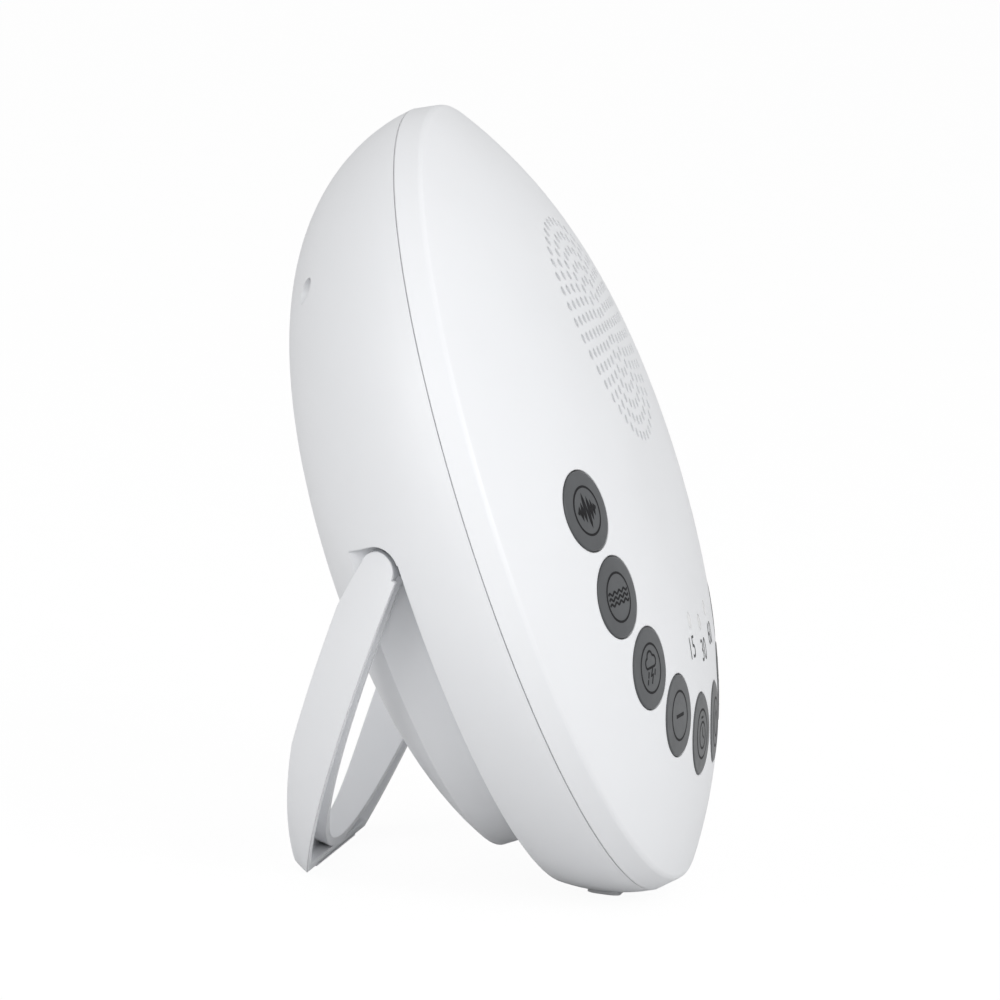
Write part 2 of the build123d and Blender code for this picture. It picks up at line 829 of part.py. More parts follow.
with BuildPart() as speaker_cone:
    with BuildSketch(SPEAKER_SECTION):
        with BuildLine():
            Polyline(
                (cone_mouth_radius, cone_top),
                (cone_mouth_radius, cone_top - cone_thickness),
                (cone_throat_radius - cone_thickness, cone_top - cone_depth - cone_thickness),
                (cone_throat_radius - cone_thickness, cone_top - cone_depth),
                (cone_throat_radius, cone_top - cone_depth),
                (cone_mouth_radius - cone_thickness, cone_top),
                close=True,
            )
        make_face()
    revolve(axis=SPEAKER_AXLE)

speaker_cone.part.label = "speaker_cone"

with BuildPart() as speaker_dust_cap:
    with BuildSketch(SPEAKER_SECTION):
        with BuildLine():
            cap_base = cone_top - cone_depth
            shell = ThreePointArc(
                (-cone_throat_radius + cone_thickness, cap_base),
                (0, cap_base + dust_cap_rise),
                (cone_throat_radius - cone_thickness, cap_base),
            )
            Line(shell @ 0, shell @ 1)
        make_face()
        Rectangle(THROUGH, THROUGH, align=(Align.MAX, Align.CENTER), mode=Mode.SUBTRACT)
    revolve(axis=SPEAKER_AXLE)

speaker_dust_cap.part.label = "speaker_dust_cap"

# ---------------------------------------------------------------- circuit board
with BuildPart() as main_pcb:
    with BuildSketch(FACE.offset(board_height)):
        Circle(board_radius)
        with Locations((0, board_top_edge + THROUGH / 2)):
            Rectangle(THROUGH, THROUGH, mode=Mode.SUBTRACT)
        with Locations(board_post_spots):
            Circle(small_screw_radius + shank_gap, mode=Mode.SUBTRACT)
    extrude(amount=-board_thickness)

main_pcb.part.label = "main_pcb"

switch_circle = button_circle - (front_point(button_circle)[1] - switch_top) * sin(button_tilt) / cos(button_tilt)

with BuildPart() as tact_switches:
    with BuildSketch(FACE.offset(board_height)):
        for angle in button_angles:
            with Locations(round_the_face(switch_circle, angle)):
                Rectangle(switch_size, switch_size, rotation=angle)
    extrude(amount=switch_height)
    with BuildSketch(FACE.offset(board_height + switch_height)):
        with Locations([round_the_face(switch_circle, angle) for angle in button_angles]):
            Circle(plunger_radius)
    extrude(amount=plunger_height)

tact_switches.part.label = "tact_switches"

with BuildPart() as timer_leds:
    with BuildSketch(FACE.offset(board_height)):
        with Locations(led_spots):
            Rectangle(led_size, led_size)
    extrude(amount=led_thickness)

timer_leds.part.label = "timer_leds"

window_trim = front_hull(0.0)

with BuildPart() as timer_windows:
    with BuildSketch(FACE.offset(board_height + 2 * led_thickness)):
        with Locations(led_spots):
            Circle(window_radius)
    extrude(amount=THROUGH)
    add(window_trim, mode=Mode.INTERSECT)

timer_windows.part.label = "timer_windows"

with BuildPart() as controller_chip:
    with BuildSketch(FACE.offset(board_height - board_thickness)):
        with Locations((0, -chip_drop)):
            Rectangle(chip_size, chip_size)
    extrude(amount=-chip_height)

controller_chip.part.label = "controller_chip"

with BuildPart() as capacitors:
    with BuildSketch(FACE.offset(board_height - board_thickness)):
        with Locations(capacitor_spots):
            Circle(capacitor_radius)
    extrude(amount=-capacitor_length)
    can_ends = capacitors.edges().filter_by(GeomType.CIRCLE).group_by(Axis(RIM_CENTRE, OUT))[0]
    fillet(can_ends, capacitor_round)

capacitors.part.label = "capacitors"


# ---------------------------------------------------------------- screws
def screws(spots, seat, shank_radius, length, head_radius, head_height):
    """Pan-head screws driven from behind, with their heads on the plane at a height."""
    with BuildPart() as group:
        with BuildSketch(FACE.offset(seat)):
            with Locations(spots):
                Circle(shank_radius)
        extrude(amount=length)
        with BuildSketch(FACE.offset(seat)):
            with Locations(spots):
                Circle(head_radius)
        extrude(amount=-head_height)
        head_ends = group.edges().filter_by(GeomType.CIRCLE).group_by(Axis(RIM_CENTRE, OUT))[0]
        fillet(head_ends, screw_head_round)
        with BuildSketch(FACE.offset(seat - head_height)):
            with Locations(spots):
                Rectangle(slot_length, slot_width)
                Rectangle(slot_width, slot_length)
        extrude(amount=slot_depth, mode=Mode.SUBTRACT)
    return group


case_screws = screws(
    case_screw_spots,
    -case_screw_seat,
    case_screw_radius,
    case_screw_length,
    case_screw_head_radius,
    case_screw_head_height,
)
case_screws.part.label = "case_screws"

board_screws = screws(
    board_post_spots,
    board_height - board_thickness,
    small_screw_radius,
    board_screw_length,
    small_screw_head_radius,
    small_screw_head_height,
)
board_screws.part.label = "board_screws"

speaker_screws = screws(
    speaker_screw_spots,
    flange_back,
    small_screw_radius,
    speaker_screw_length,
    small_screw_head_radius,
    small_screw_head_height,
)
speaker_screws.part.label = "speaker_screws"

# ---------------------------------------------------------------- batteries and their contacts
cell_columns = [cell_pitch * (i - (cell_count - 1) / 2) for i in range(cell_count)]
cell_low = bay_centre - (cell_length + cell_nub_height) / 2
cell_high = bay_centre + (cell_length + cell_nub_height) / 2


def bay_plane(u):
    """Plane across the bay at a height up the face; z runs up the face."""
    return Plane(RIM_CENTRE + UP * u - OUT * cell_axis_depth, x_dir=RIGHT, z_dir=UP)


with BuildPart() as battery_cells:
    for i, x in enumerate(cell_columns):
        # Neighbouring cells lie head to tail
        nub_down = i % 2
        with BuildSketch(bay_plane(cell_low + nub_down * cell_nub_height)):
            with Locations((x, 0)):
                Circle(cell_radius)
        extrude(amount=cell_length)
        with BuildSketch(bay_plane(cell_low if nub_down else cell_high - cell_nub_height)):
            with Locations((x, 0)):
                Circle(cell_nub_radius)
        extrude(amount=cell_nub_height)

battery_cells.part.label = "battery_cells"

with BuildPart() as battery_contacts:
    for u in (bay_centre - bay_height / 2, bay_centre + bay_height / 2 - contact_thickness):
        with BuildSketch(bay_plane(u)):
            with Locations([(x, 0) for x in cell_columns]):
                Rectangle(contact_size, contact_size)
        extrude(amount=contact_thickness)

battery_contacts.part.label = "battery_contacts"

with BuildPart() as battery_springs:
    for i, x in enumerate(cell_columns):
        # A coil presses on each cell's flat end
        nub_down = i % 2
        first = bay_centre + bay_height / 2 - contact_thickness if nub_down else bay_centre - bay_height / 2
        away = -1 if nub_down else 1
        start = first if nub_down else first + contact_thickness
        for turn in range(spring_turn_count):
            ring_plane = bay_plane(start + away * (spring_wire + spring_turn_pitch * turn))
            spot = ring_plane.origin + RIGHT * x
            with Locations(Plane(spot, x_dir=RIGHT, z_dir=UP)):
                Torus(spring_radius - spring_taper * turn, spring_wire)

battery_springs.part.label = "battery_springs"

# ---------------------------------------------------------------- power socket
jack_face = -jack_pocket_depth
nut_seat = jack_face + jack_floor

with BuildPart() as dc_jack:
    with BuildSketch(FACE.offset(jack_face)):
        with Locations(jack_spot):
            Circle(jack_barrel_radius)
    extrude(amount=jack_length)
    with BuildSketch(FACE.offset(nut_seat)):
        with Locations(jack_spot):
            RegularPolygon(jack_nut_radius, 6)
    extrude(amount=jack_nut_thickness)
    with BuildSketch(FACE.offset(jack_face)):
        with Locations(jack_spot):
            Circle(jack_bore_radius)
            Circle(jack_pin_radius, mode=Mode.SUBTRACT)
    extrude(amount=jack_bore_depth, mode=Mode.SUBTRACT)

dc_jack.part.label = "dc_jack"

# ---------------------------------------------------------------- files
pieces = [
    front_cover,
    rear_cover,
    battery_door,
    case_foot,
    stand,
    stand_foot,
    speaker_gasket,
    speaker_frame,
    speaker_magnet,
    speaker_surround,
    speaker_cone,
    speaker_dust_cap,
    main_pcb,
    tact_switches,
    timer_leds,
    timer_windows,
    controller_chip,
    capacitors,
    case_screws,
    board_screws,
    speaker_screws,
    battery_cells,
    battery_contacts,
    battery_springs,
    dc_jack,
]

os.makedirs("parts", exist_ok=True)
for piece in pieces + list(buttons.values()):
    export_step(piece.part, f"parts/{piece.part.label}.step")
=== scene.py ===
import json
from math import atan, ceil, cos, pi, radians, sin

import bmesh
import bpy
from mathutils import Matrix, Vector


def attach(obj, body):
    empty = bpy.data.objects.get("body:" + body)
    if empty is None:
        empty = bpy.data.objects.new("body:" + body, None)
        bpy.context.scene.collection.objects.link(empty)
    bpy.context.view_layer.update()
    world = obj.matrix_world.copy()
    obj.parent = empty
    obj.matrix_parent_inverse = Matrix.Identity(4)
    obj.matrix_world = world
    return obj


# A round table-top sound machine on a folding half-ring stand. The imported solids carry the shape.
# This script gives them their materials, prints the symbols and numerals, and sets floor, light and
# camera. Lengths are metres, and angles are degrees.

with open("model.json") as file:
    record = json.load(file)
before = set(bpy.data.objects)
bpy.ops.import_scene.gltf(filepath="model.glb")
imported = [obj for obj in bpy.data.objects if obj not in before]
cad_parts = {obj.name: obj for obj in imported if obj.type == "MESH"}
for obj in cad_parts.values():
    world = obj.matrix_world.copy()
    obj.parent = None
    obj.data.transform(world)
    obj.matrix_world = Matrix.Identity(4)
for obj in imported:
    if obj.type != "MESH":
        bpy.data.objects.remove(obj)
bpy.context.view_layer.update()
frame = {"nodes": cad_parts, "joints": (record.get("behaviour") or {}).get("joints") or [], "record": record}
nodes = frame["nodes"]
joints = {joint["name"]: joint for joint in frame["joints"]}

# ---------------------------------------------------------------- the face frame, as in the part's source
MM = 0.001
rim_radius = 74.0 * MM
dome_rise = 18.6 * MM
outline_power = 3.0
pivot_depth = 23.2 * MM
button_circle = 49.5 * MM
button_pitch = 19.55
button_radius = 7.3 * MM
button_proud = 0.15 * MM
led_pitch = 18.0

RIGHT = Vector((1, 0, 0))
OUT = -Vector(joints["battery_door_lift"]["axis"]).normalized()
UP = OUT.cross(RIGHT).normalized()
PIVOT = Vector(joints["stand_hinge"]["pos_m"])
RIM_CENTRE = PIVOT + OUT * pivot_depth

BUTTONS = [
    "white_noise_button",
    "ocean_button",
    "rain_button",
    "volume_down_button",
    "timer_button",
    "power_button",
    "volume_up_button",
    "brook_button",
    "night_button",
    "fan_button",
]


def dome_height(radius):
    return dome_rise * (1 - (radius / rim_radius) ** outline_power)


def dome_tilt(radius):
    return atan(outline_power * dome_rise * radius ** (outline_power - 1) / rim_radius**outline_power)


def on_dome(x, u, lift):
    """Point above the front dome at face coordinates x and u, lifted along the dome's normal."""
    flat = RIGHT * x + UP * u
    tilt = dome_tilt(flat.length)
    normal = OUT * cos(tilt) + flat.normalized() * sin(tilt)
    return RIM_CENTRE + flat + OUT * dome_height(flat.length) + normal * lift


# ---------------------------------------------------------------- materials
NOISE_LOW, NOISE_HIGH = 0.3, 0.7
BUMP_STRENGTH = 0.5
EDGE_SAMPLES = 6
SCATTER_RADIUS = (0.003, 0.003, 0.003)
SCATTER_SCALE = 0.5


def new_material(name):
    material = bpy.data.materials.new(name)
    material.use_nodes = True
    tree = material.node_tree
    return material, tree, tree.nodes["Principled BSDF"]


def ramp(tree, source, stops, interpolation="LINEAR"):
    node = tree.nodes.new("ShaderNodeValToRGB")
    node.color_ramp.interpolation = interpolation
    elements = node.color_ramp.elements
    while len(elements) < len(stops):
        elements.new(0.5)
    for element, (place, colour) in zip(elements, stops):
        element.position = place
        element.color = (*colour, 1)
    tree.links.new(source, node.inputs["Fac"])
    return node.outputs["Color"]


def noise(tree, vector, scale, detail=3.0, roughness=0.5):
    node = tree.nodes.new("ShaderNodeTexNoise")
    node.inputs["Scale"].default_value = scale
    node.inputs["Detail"].default_value = detail
    node.inputs["Roughness"].default_value = roughness
    tree.links.new(vector, node.inputs["Vector"])
    return node.outputs["Fac"]


def drift(tree, vector, scale, dark, light):
    """Colour that drifts between two tones."""
    return ramp(tree, noise(tree, vector, scale), [(NOISE_LOW, dark), (NOISE_HIGH, light)])


def spread_value(tree, source, low, high):
    node = tree.nodes.new("ShaderNodeMapRange")
    node.inputs["From Min"].default_value = NOISE_LOW
    node.inputs["From Max"].default_value = NOISE_HIGH
    node.inputs["To Min"].default_value = low
    node.inputs["To Max"].default_value = high
    tree.links.new(source, node.inputs["Value"])
    return node.outputs["Result"]


def surface(
    name,
    dark,
    light,
    blotch=40.0,
    rough=(0.4, 0.5),
    grain=9000.0,
    depth=0.00001,
    soften=0.0,
    metallic=0.0,
    specular=0.5,
    stretch=(1, 1, 1),
    coat=0.0,
    sheen=0.0,
    subsurface=0.0,
):
    """Finish with a slow drift of colour, an uneven gloss, a fine grain and softened edges."""
    material, tree, shader = new_material(name)
    links = tree.links
    place = tree.nodes.new("ShaderNodeTexCoord")
    mapping = tree.nodes.new("ShaderNodeMapping")
    mapping.inputs["Scale"].default_value = stretch
    links.new(place.outputs["Object"], mapping.inputs["Vector"])
    vector = mapping.outputs["Vector"]
    links.new(drift(tree, vector, blotch, dark, light), shader.inputs["Base Color"])
    links.new(spread_value(tree, noise(tree, vector, 3 * blotch), *rough), shader.inputs["Roughness"])
    bump = tree.nodes.new("ShaderNodeBump")
    bump.inputs["Strength"].default_value = BUMP_STRENGTH
    bump.inputs["Distance"].default_value = depth
    links.new(noise(tree, vector, grain, 2.0), bump.inputs["Height"])
    if soften:
        edge = tree.nodes.new("ShaderNodeBevel")
        edge.samples = EDGE_SAMPLES
        edge.inputs["Radius"].default_value = soften
        links.new(edge.outputs["Normal"], bump.inputs["Normal"])
    links.new(bump.outputs["Normal"], shader.inputs["Normal"])
    shader.inputs["Metallic"].default_value = metallic
    shader.inputs["Specular IOR Level"].default_value = specular
    shader.inputs["Coat Weight"].default_value = coat
    shader.inputs["Sheen Weight"].default_value = sheen
    shader.inputs["Subsurface Weight"].default_value = subsurface
    if subsurface:
        shader.inputs["Subsurface Radius"].default_value = SCATTER_RADIUS
        shader.inputs["Subsurface Scale"].default_value = SCATTER_SCALE
    return material


TRACK_SCALE = 260.0
TRACK_HEIGHT = 0.04 * MM
MASK_COAT = 0.3


def board_material():
    """Green solder mask, with copper runs showing through as lighter lines."""
    material, tree, shader = new_material("board_green")
    links = tree.links
    place = tree.nodes.new("ShaderNodeTexCoord")
    runs = tree.nodes.new("ShaderNodeTexVoronoi")
    runs.feature = "DISTANCE_TO_EDGE"
    runs.inputs["Scale"].default_value = TRACK_SCALE
    links.new(place.outputs["Object"], runs.inputs["Vector"])
    track = ramp(
        tree,
        runs.outputs["Distance"],
        [(0.05, (0.012, 0.115, 0.045)), (0.09, (0.02, 0.19, 0.075))],
    )
    links.new(track, shader.inputs["Base Color"])
    links.new(
        spread_value(tree, noise(tree, place.outputs["Object"], 300.0), 0.28, 0.4), shader.inputs["Roughness"]
    )
    bump = tree.nodes.new("ShaderNodeBump")
    bump.inputs["Strength"].default_value = 0.6
    bump.inputs["Distance"].default_value = TRACK_HEIGHT
    links.new(runs.outputs["Distance"], bump.inputs["Height"])
    links.new(bump.outputs["Normal"], shader.inputs["Normal"])
    shader.inputs["Coat Weight"].default_value = MASK_COAT
    return material


def cell_material():
    """Plain dark blue jacket with two pale bands and bare metal ends."""
    material, tree, shader = new_material("cell_jacket")
    links = tree.links
    place = tree.nodes.new("ShaderNodeTexCoord")
    node = nodes["battery_cells"]
    up = node.matrix_world.to_3x3().transposed() @ UP
    heights = [vertex.co.dot(up) for vertex in node.data.vertices]
    along = tree.nodes.new("ShaderNodeVectorMath")
    along.operation = "DOT_PRODUCT"
    along.inputs[1].default_value = tuple(up)
    links.new(place.outputs["Object"], along.inputs[0])
    share = tree.nodes.new("ShaderNodeMapRange")
    share.inputs["From Min"].default_value = min(heights)
    share.inputs["From Max"].default_value = max(heights)
    links.new(along.outputs["Value"], share.inputs["Value"])
    jacket, band, metal = (0.02, 0.05, 0.12), (0.45, 0.47, 0.5), (0.6, 0.6, 0.62)
    stops = [
        (0.0, metal),
        (0.05, jacket),
        (0.14, band),
        (0.16, jacket),
        (0.84, band),
        (0.86, jacket),
        (0.95, metal),
    ]
    links.new(ramp(tree, share.outputs["Result"], stops, "CONSTANT"), shader.inputs["Base Color"])
    gloss = spread_value(tree, noise(tree, place.outputs["Object"], 500.0), 0.22, 0.36)
    links.new(gloss, shader.inputs["Roughness"])
    shader.inputs["Metallic"].default_value = 0.5
    return material


CASE_TONES = (0.835, 0.845, 0.865), (0.855, 0.865, 0.885)
MATERIALS = {
    "case_white": surface(
        "case_white",
        *CASE_TONES,
        blotch=25.0,
        rough=(0.34, 0.42),
        grain=5200.0,
        depth=0.000012,
        soften=0.0004,
        specular=0.45,
    ),
    "button_grey": surface(
        "button_grey",
        (0.066, 0.07, 0.075),
        (0.078, 0.083, 0.088),
        blotch=150.0,
        rough=(0.42, 0.52),
        grain=7000.0,
        depth=0.000012,
        soften=0.00025,
        specular=0.5,
        sheen=0.15,
    ),
    "foot_rubber": surface(
        "foot_rubber",
        *CASE_TONES,
        blotch=220.0,
        rough=(0.7, 0.85),
        grain=3500.0,
        depth=0.00003,
        soften=0.0003,
        specular=0.3,
    ),
    "window_white": surface(
        "window_white",
        (0.86, 0.87, 0.88),
        (0.92, 0.93, 0.94),
        blotch=400.0,
        rough=(0.16, 0.24),
        grain=4000.0,
        depth=0.000004,
        specular=0.55,
        subsurface=0.4,
    ),
    "screw_steel": surface(
        "screw_steel",
        (0.42, 0.42, 0.44),
        (0.6, 0.6, 0.62),
        blotch=900.0,
        rough=(0.25, 0.4),
        grain=9000.0,
        depth=0.00002,
        metallic=1.0,
        soften=0.0001,
    ),
    "basket_steel": surface(
        "basket_steel",
        (0.4, 0.4, 0.41),
        (0.52, 0.52, 0.54),
        blotch=120.0,
        rough=(0.3, 0.46),
        grain=2500.0,
        depth=0.00002,
        metallic=1.0,
        stretch=(1, 1, 4),
        soften=0.0002,
    ),
    "magnet_ferrite": surface(
        "magnet_ferrite",
        (0.02, 0.02, 0.022),
        (0.045, 0.045, 0.048),
        blotch=300.0,
        rough=(0.5, 0.7),
        grain=3000.0,
        depth=0.00004,
        soften=0.0003,
    ),
    "cone_paper": surface(
        "cone_paper",
        (0.015, 0.015, 0.016),
        (0.035, 0.035, 0.037),
        blotch=900.0,
        rough=(0.75, 0.9),
        grain=1800.0,
        depth=0.00008,
        specular=0.2,
    ),
    "surround_rubber": surface(
        "surround_rubber",
        (0.012, 0.012, 0.012),
        (0.022, 0.022, 0.023),
        blotch=200.0,
        rough=(0.45, 0.6),
        grain=3000.0,
        depth=0.00001,
    ),
    "gasket_foam": surface(
        "gasket_foam",
        (0.015, 0.015, 0.015),
        (0.05, 0.05, 0.05),
        blotch=1500.0,
        rough=(0.85, 0.95),
        grain=2600.0,
        depth=0.0001,
        specular=0.1,
    ),
    "board_green": board_material(),
    "switch_black": surface(
        "switch_black",
        (0.018, 0.018, 0.019),
        (0.03, 0.03, 0.031),
        blotch=500.0,
        rough=(0.4, 0.55),
        grain=6000.0,
        depth=0.00001,
        soften=0.0002,
    ),
    "led_clear": surface(
        "led_clear",
        (0.78, 0.78, 0.62),
        (0.86, 0.86, 0.74),
        blotch=900.0,
        rough=(0.08, 0.14),
        grain=2000.0,
        depth=0.000002,
        coat=0.5,
        soften=0.0001,
    ),
    "capacitor_can": surface(
        "capacitor_can",
        (0.62, 0.63, 0.65),
        (0.74, 0.75, 0.77),
        blotch=250.0,
        rough=(0.2, 0.32),
        grain=6000.0,
        depth=0.00001,
        metallic=1.0,
        soften=0.0002,
    ),
    "cell_jacket": cell_material(),
    "contact_nickel": surface(
        "contact_nickel",
        (0.66, 0.63, 0.57),
        (0.8, 0.77, 0.71),
        blotch=300.0,
        rough=(0.16, 0.28),
        grain=5000.0,
        depth=0.00001,
        metallic=1.0,
        soften=0.0001,
    ),
    "jack_black": surface(
        "jack_black",
        (0.014, 0.014, 0.014),
        (0.026, 0.026, 0.026),
        blotch=400.0,
        rough=(0.3, 0.42),
        grain=6000.0,
        depth=0.000008,
        soften=0.0002,
    ),
}
ink = surface(
    "print_dark",
    (0.045, 0.048, 0.052),
    (0.07, 0.073, 0.078),
    blotch=1200.0,
    rough=(0.5, 0.62),
    grain=9000.0,
    depth=0.000004,
)
symbol_ink = surface(
    "symbol_dark",
    (0.008, 0.008, 0.009),
    (0.014, 0.014, 0.016),
    blotch=1200.0,
    rough=(0.5, 0.6),
    grain=9000.0,
    depth=0.000004,
    specular=0.2,
)

for subpart in frame["record"]["subparts"]:
    mesh = nodes[subpart["node"]].data
    mesh.materials.clear()
    mesh.materials.append(MATERIALS[subpart["material_slot"]])


# ---------------------------------------------------------------- printed symbols on the caps
def arc(cx, cy, radius, first, last, steps=24):
    """Points on an arc, angles in degrees."""
    angles = [radians(first + (last - first) * i / steps) for i in range(steps + 1)]
    return [(cx + radius * cos(a), cy + radius * sin(a)) for a in angles]


def wave(y, reach=0.84, height=0.06, turns=4.0, steps=48):
    """Points on a level wavy line."""
    return [
        (reach * (2 * i / steps - 1), y + height * sin(2 * pi * turns * i / steps)) for i in range(steps + 1)
    ]


def turned(points, angle):
    """Points turned about the middle, by an angle in degrees."""
    c, s = cos(radians(angle)), sin(radians(angle))
    return [(x * c - y * s, x * s + y * c) for x, y in points]


# Symbols as lines, in shares of their ring's radius
PULSE = [
    (-0.72, 0.0),
    (-0.6, 0.14),
    (-0.5, -0.2),
    (-0.38, 0.26),
    (-0.26, -0.3),
    (-0.12, 0.62),
    (0.04, -0.6),
    (0.18, 0.42),
    (0.3, -0.3),
    (0.42, 0.24),
    (0.54, -0.16),
    (0.62, 0.08),
    (0.72, 0.0),
]
CLOUD = (
    arc(-0.3, 0.22, 0.22, 250, 95, 12)
    + arc(-0.04, 0.42, 0.28, 150, 20, 14)
    + arc(0.32, 0.25, 0.22, 80, -80, 12)
    + [(-0.38, 0.02)]
)
BOLT = [(0.14, 0.0), (-0.06, -0.3), (0.12, -0.3), (-0.04, -0.62)]
DROPS = [
    [(-0.28, -0.14), (-0.36, -0.34)],
    [(0.38, -0.12), (0.3, -0.32)],
    [(-0.4, -0.44), (-0.46, -0.6)],
]
DROPLET = [
    (0, 0.66),
    (-0.2, 0.3),
    (-0.18, 0.14),
    (-0.08, 0.05),
    (0.08, 0.05),
    (0.18, 0.14),
    (0.2, 0.3),
    (0, 0.66),
]
BLADE = [(0.1, 0.04), (0.32, 0.26), (0.6, 0.26), (0.72, 0.04), (0.54, -0.12), (0.26, -0.1), (0.1, 0.04)]
CLOCK = [
    arc(0, -0.06, 0.54, 90, -270, 40),
    [(0, 0.26), (0, -0.06), (0.22, -0.2)],
    [(-0.18, 0.68), (0.18, 0.68)],
]
LEVEL = [(-0.45, 0.0), (0.45, 0.0)]
SYMBOLS = {
    "white_noise_button": [PULSE],
    "ocean_button": [wave(0.22), wave(0.0), wave(-0.22)],
    "rain_button": [CLOUD, BOLT, *DROPS],
    "volume_down_button": [LEVEL],
    "timer_button": CLOCK,
    "power_button": [arc(0, -0.04, 0.54, 125, 415, 36), [(0, 0.66), (0, 0.08)]],
    "volume_up_button": [LEVEL, turned(LEVEL, 90)],
    "brook_button": [DROPLET, wave(-0.2), wave(-0.46, 0.7)],
    "night_button": [arc(0, 0, 0.58, 60, 300, 30) + arc(0.26, 0.0, 0.5, 279, 81, 24)],
    "fan_button": [turned(BLADE, 80), turned(BLADE, 200), turned(BLADE, 320), arc(0, 0, 0.1, 0, 360, 14)],
}
BOLD_SYMBOLS = {"white_noise_button", "volume_down_button", "volume_up_button"}
RING_SHARE = 0.6
LINE_WIDTH = 0.44 * MM
BOLD_WIDTH = 0.66 * MM
PRINT_LIFT = 0.02 * MM
PRINT_STEP = 0.5 * MM
MITRE_LIMIT = 0.45
END_SHARE = 0.25
RING_STEPS = 72


def cut_up(points):
    """The same line with its long pieces cut up, so that print follows the dome and doesn't sink into it."""
    fine = points[:1]
    for one, two in zip(points, points[1:]):
        cuts = ceil((two - one).length / PRINT_STEP)
        fine += [one.lerp(two, i / cuts) for i in range(1, cuts + 1)]
    return fine


def stroke(mesh, points, width, place, closed=False):
    """Flat ribbon along 2-D points, put in space by place(x, y)."""
    points = cut_up([Vector(p) for p in points])
    if (points[0] - points[-1]).length < 1e-9:
        points = points[:-1]
        closed = True
    count = len(points)
    left, right = [], []
    for i, point in enumerate(points):
        before = points[i - 1] if i or closed else point
        after = points[(i + 1) % count] if i + 1 < count or closed else point
        one = (point - before).normalized() if (point - before).length else (after - point).normalized()
        two = (after - point).normalized() if (after - point).length else one
        middle = (one + two).normalized() if (one + two).length > 1e-6 else one
        side = Vector((-middle.y, middle.x))
        reach = width / 2 / max(side.dot(Vector((-one.y, one.x))), MITRE_LIMIT)
        if not closed and i == 0:
            point = point - two * width * END_SHARE
        if not closed and i == count - 1:
            point = point + one * width * END_SHARE
        left.append(mesh.verts.new(place(*(point + side * reach))))
        right.append(mesh.verts.new(place(*(point - side * reach))))
    for i in range(count if closed else count - 1):
        j = (i + 1) % count
        mesh.faces.new((right[i], right[j], left[j], left[i]))


def finish_piece(name, mesh, material, body):
    """Object of its own from a finished mesh, riding on a body and taking a material slot."""
    data = bpy.data.meshes.new(name)
    mesh.normal_update()
    mesh.to_mesh(data)
    mesh.free()
    data.materials.append(material)
    piece = bpy.data.objects.new(name, data)
    bpy.context.scene.collection.objects.link(piece)
    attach(piece, body)


ring = RING_SHARE * button_radius
tilt = dome_tilt(button_circle)
for index, button in enumerate(BUTTONS):
    angle = radians(-90 + button_pitch * (index - (len(BUTTONS) - 1) / 2))
    outward = RIGHT * cos(angle) + UP * sin(angle)
    normal = OUT * cos(tilt) + outward * sin(tilt)
    cap_up = (UP - normal * UP.dot(normal)).normalized()
    cap_right = cap_up.cross(normal)

    def on_cap(x, y):
        spot = outward * button_circle + cap_right * x + cap_up * y
        return on_dome(spot.dot(RIGHT), spot.dot(UP), button_proud + PRINT_LIFT)

    symbol = bmesh.new()
    stroke(symbol, [(ring * x, ring * y) for x, y in arc(0, 0, 1, 0, 360, RING_STEPS)], LINE_WIDTH, on_cap)
    for line in SYMBOLS[button]:
        width = BOLD_WIDTH if button in BOLD_SYMBOLS else LINE_WIDTH
        stroke(symbol, [(ring * x, ring * y) for x, y in line], width, on_cap)
    finish_piece(button.replace("_button", "_symbol"), symbol, symbol_ink, button)

# ---------------------------------------------------------------- timer numerals
NUMERALS = ["15", "30", "60"]
NUMERAL_CIRCLE = 35.2 * MM
NUMERAL_HEIGHT = 4.0 * MM
DIGIT_SHARE = 0.7
LONGEST_EDGE = 1.2 * MM

for index, text in enumerate(NUMERALS):
    angle = radians(-90 + led_pitch * (index - (len(NUMERALS) - 1) / 2))
    x0, u0 = NUMERAL_CIRCLE * cos(angle), NUMERAL_CIRCLE * sin(angle)
    curve = bpy.data.curves.new("numeral", "FONT")
    curve.body = text
    curve.align_x = "CENTER"
    curve.align_y = "CENTER"
    curve.size = NUMERAL_HEIGHT / DIGIT_SHARE
    curve.resolution_u = 6
    writing = bpy.data.objects.new("numeral", curve)
    bpy.context.scene.collection.objects.link(writing)
    bpy.context.view_layer.update()
    flat = bpy.data.meshes.new_from_object(writing.evaluated_get(bpy.context.evaluated_depsgraph_get()))
    bpy.data.objects.remove(writing)
    numeral = bmesh.new()
    numeral.from_mesh(flat)
    bpy.data.meshes.remove(flat)
    bmesh.ops.triangulate(numeral, faces=numeral.faces)
    long_edges = [edge for edge in numeral.edges if edge.calc_length() > LONGEST_EDGE]
    bmesh.ops.subdivide_edges(numeral, edges=long_edges, cuts=2, use_grid_fill=True)
    for vertex in numeral.verts:
        vertex.co = on_dome(x0 + vertex.co.x, u0 + vertex.co.y, PRINT_LIFT)
    finish_piece(f"numeral_{text}", numeral, ink, "case")

# ---------------------------------------------------------------- floor
FLOOR_REACH = 8.0
FLOOR_TONES = (0.72, 0.72, 0.72), (0.76, 0.76, 0.76)
GLOW_STRENGTH = 1.04
GLOW_SHARE = 0.91

floor_mesh = bmesh.new()
bmesh.ops.create_grid(floor_mesh, x_segments=8, y_segments=8, size=FLOOR_REACH)
floor_data = bpy.data.meshes.new("floor")
floor_mesh.to_mesh(floor_data)
floor_mesh.free()
floor = bpy.data.objects.new("floor", floor_data)
bpy.context.scene.collection.objects.link(floor)

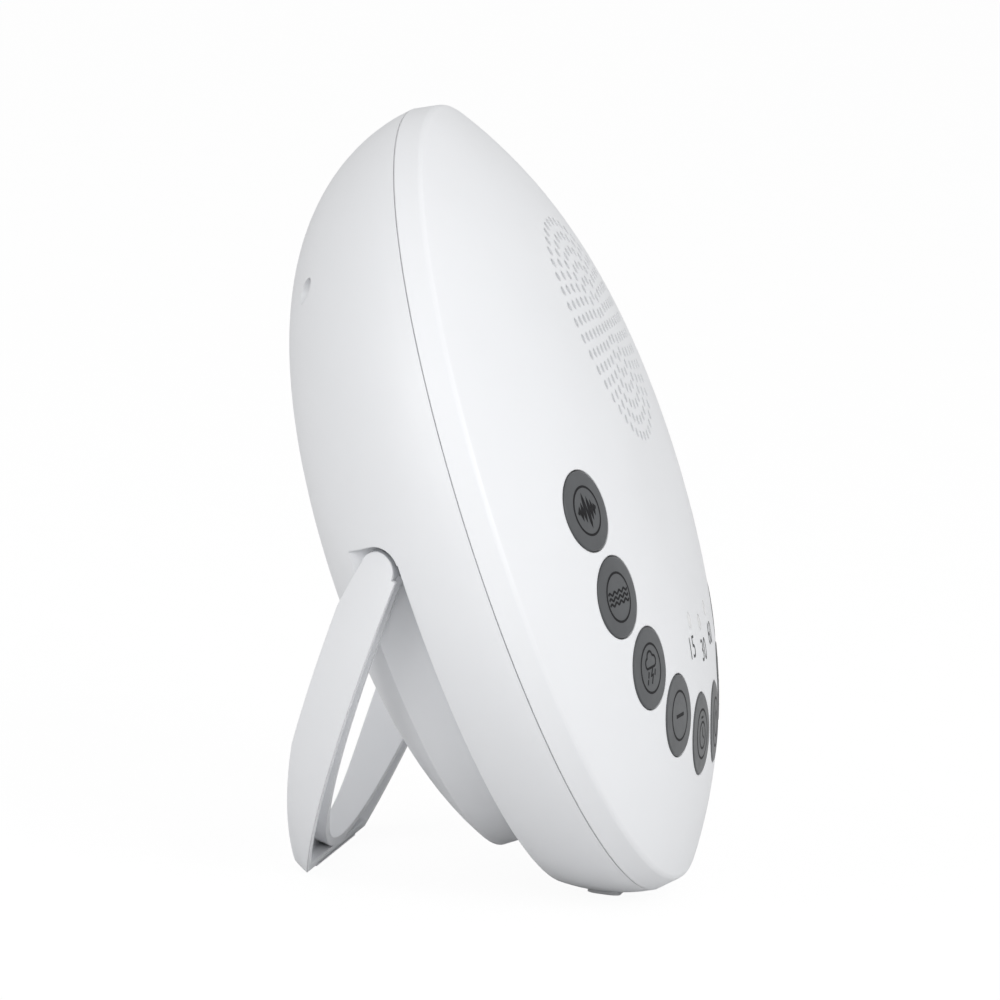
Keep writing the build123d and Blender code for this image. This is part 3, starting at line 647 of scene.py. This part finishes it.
floor_material, tree, shader = new_material("floor_paper")
place = tree.nodes.new("ShaderNodeTexCoord")
paper = drift(tree, place.outputs["Object"], 60.0, *FLOOR_TONES)
tree.links.new(paper, shader.inputs["Base Color"])
shader.inputs["Roughness"].default_value = 0.9
shader.inputs["Specular IOR Level"].default_value = 0.1
glow = tree.nodes.new("ShaderNodeEmission")
glow.inputs["Color"].default_value = (1, 1, 1, 1)
glow.inputs["Strength"].default_value = GLOW_STRENGTH
path = tree.nodes.new("ShaderNodeLightPath")
seen = tree.nodes.new("ShaderNodeMath")
seen.operation = "MULTIPLY"
seen.inputs[1].default_value = GLOW_SHARE
tree.links.new(path.outputs["Is Camera Ray"], seen.inputs[0])
mix = tree.nodes.new("ShaderNodeMixShader")
tree.links.new(seen.outputs["Value"], mix.inputs["Fac"])
tree.links.new(shader.outputs["BSDF"], mix.inputs[1])
tree.links.new(glow.outputs["Emission"], mix.inputs[2])
tree.links.new(mix.outputs["Shader"], tree.nodes["Material Output"].inputs["Surface"])
floor_data.materials.append(floor_material)

# ---------------------------------------------------------------- light
SKY_LIGHT = 0.54
SKY_SEEN = 1.0
# name, direction, distance, size, watts
LAMPS = [
    ("key", (-0.72, -0.95, 0.6), 1.2, 0.9, 6.8),
    ("top", (0.3, -0.3, 1.0), 1.4, 1.0, 1.6),
    ("back", (-0.95, 0.75, 0.45), 1.4, 1.0, 6.2),
]

world = bpy.data.worlds.new("studio")
bpy.context.scene.world = world
world.use_nodes = True
tree = world.node_tree
background = tree.nodes["Background"]
background.inputs["Color"].default_value = (1, 1, 1, 1)
path = tree.nodes.new("ShaderNodeLightPath")
level = tree.nodes.new("ShaderNodeMapRange")
level.inputs["To Min"].default_value = SKY_LIGHT
level.inputs["To Max"].default_value = SKY_SEEN
tree.links.new(path.outputs["Is Camera Ray"], level.inputs["Value"])
tree.links.new(level.outputs["Result"], background.inputs["Strength"])

for name, direction, distance, size, power in LAMPS:
    light = bpy.data.lights.new(name, "AREA")
    light.shape = "SQUARE"
    light.size = size
    light.energy = power
    item = bpy.data.objects.new(name, light)
    item.location = RIM_CENTRE + Vector(direction).normalized() * distance
    item.rotation_mode = "QUATERNION"
    item.rotation_quaternion = (item.location - RIM_CENTRE).to_track_quat("Z", "Y")
    bpy.context.scene.collection.objects.link(item)

# ---------------------------------------------------------------- camera
FIT_RADIUS = 73.0 * MM
FIT_CENTRE = RIM_CENTRE + OUT * (0.7 * MM)
# in fit radii, from the fit centre along the view's own axes
VIEW_SHIFT_RIGHT = -0.1517
VIEW_SHIFT_UP = -0.0230
VIEW_DISTANCE = 30.0
SENSOR = 36.0
LENS = 436.9


def from_face(x, u, out):
    return RIGHT * x + UP * u + OUT * out


view_right = from_face(0.15910, -0.30707, 0.93829).normalized()
view_up = from_face(0.11166, 0.94990, 0.29193).normalized()
view_back = view_right.cross(view_up).normalized()
view_up = view_back.cross(view_right)
camera_data = bpy.data.cameras.new("camera")
camera_data.sensor_width = SENSOR
camera_data.lens = LENS
camera_data.clip_start = 0.1
camera_data.clip_end = 50.0
camera = bpy.data.objects.new("camera", camera_data)
bpy.context.scene.collection.objects.link(camera)
shift = view_right * VIEW_SHIFT_RIGHT + view_up * VIEW_SHIFT_UP + view_back * VIEW_DISTANCE
spot = FIT_CENTRE + shift * FIT_RADIUS
turn = Matrix((view_right, view_up, view_back)).transposed().to_4x4()
camera.matrix_world = Matrix.Translation(spot) @ turn
bpy.context.scene.camera = camera
bpy.context.scene.view_settings.view_transform = "Standard"
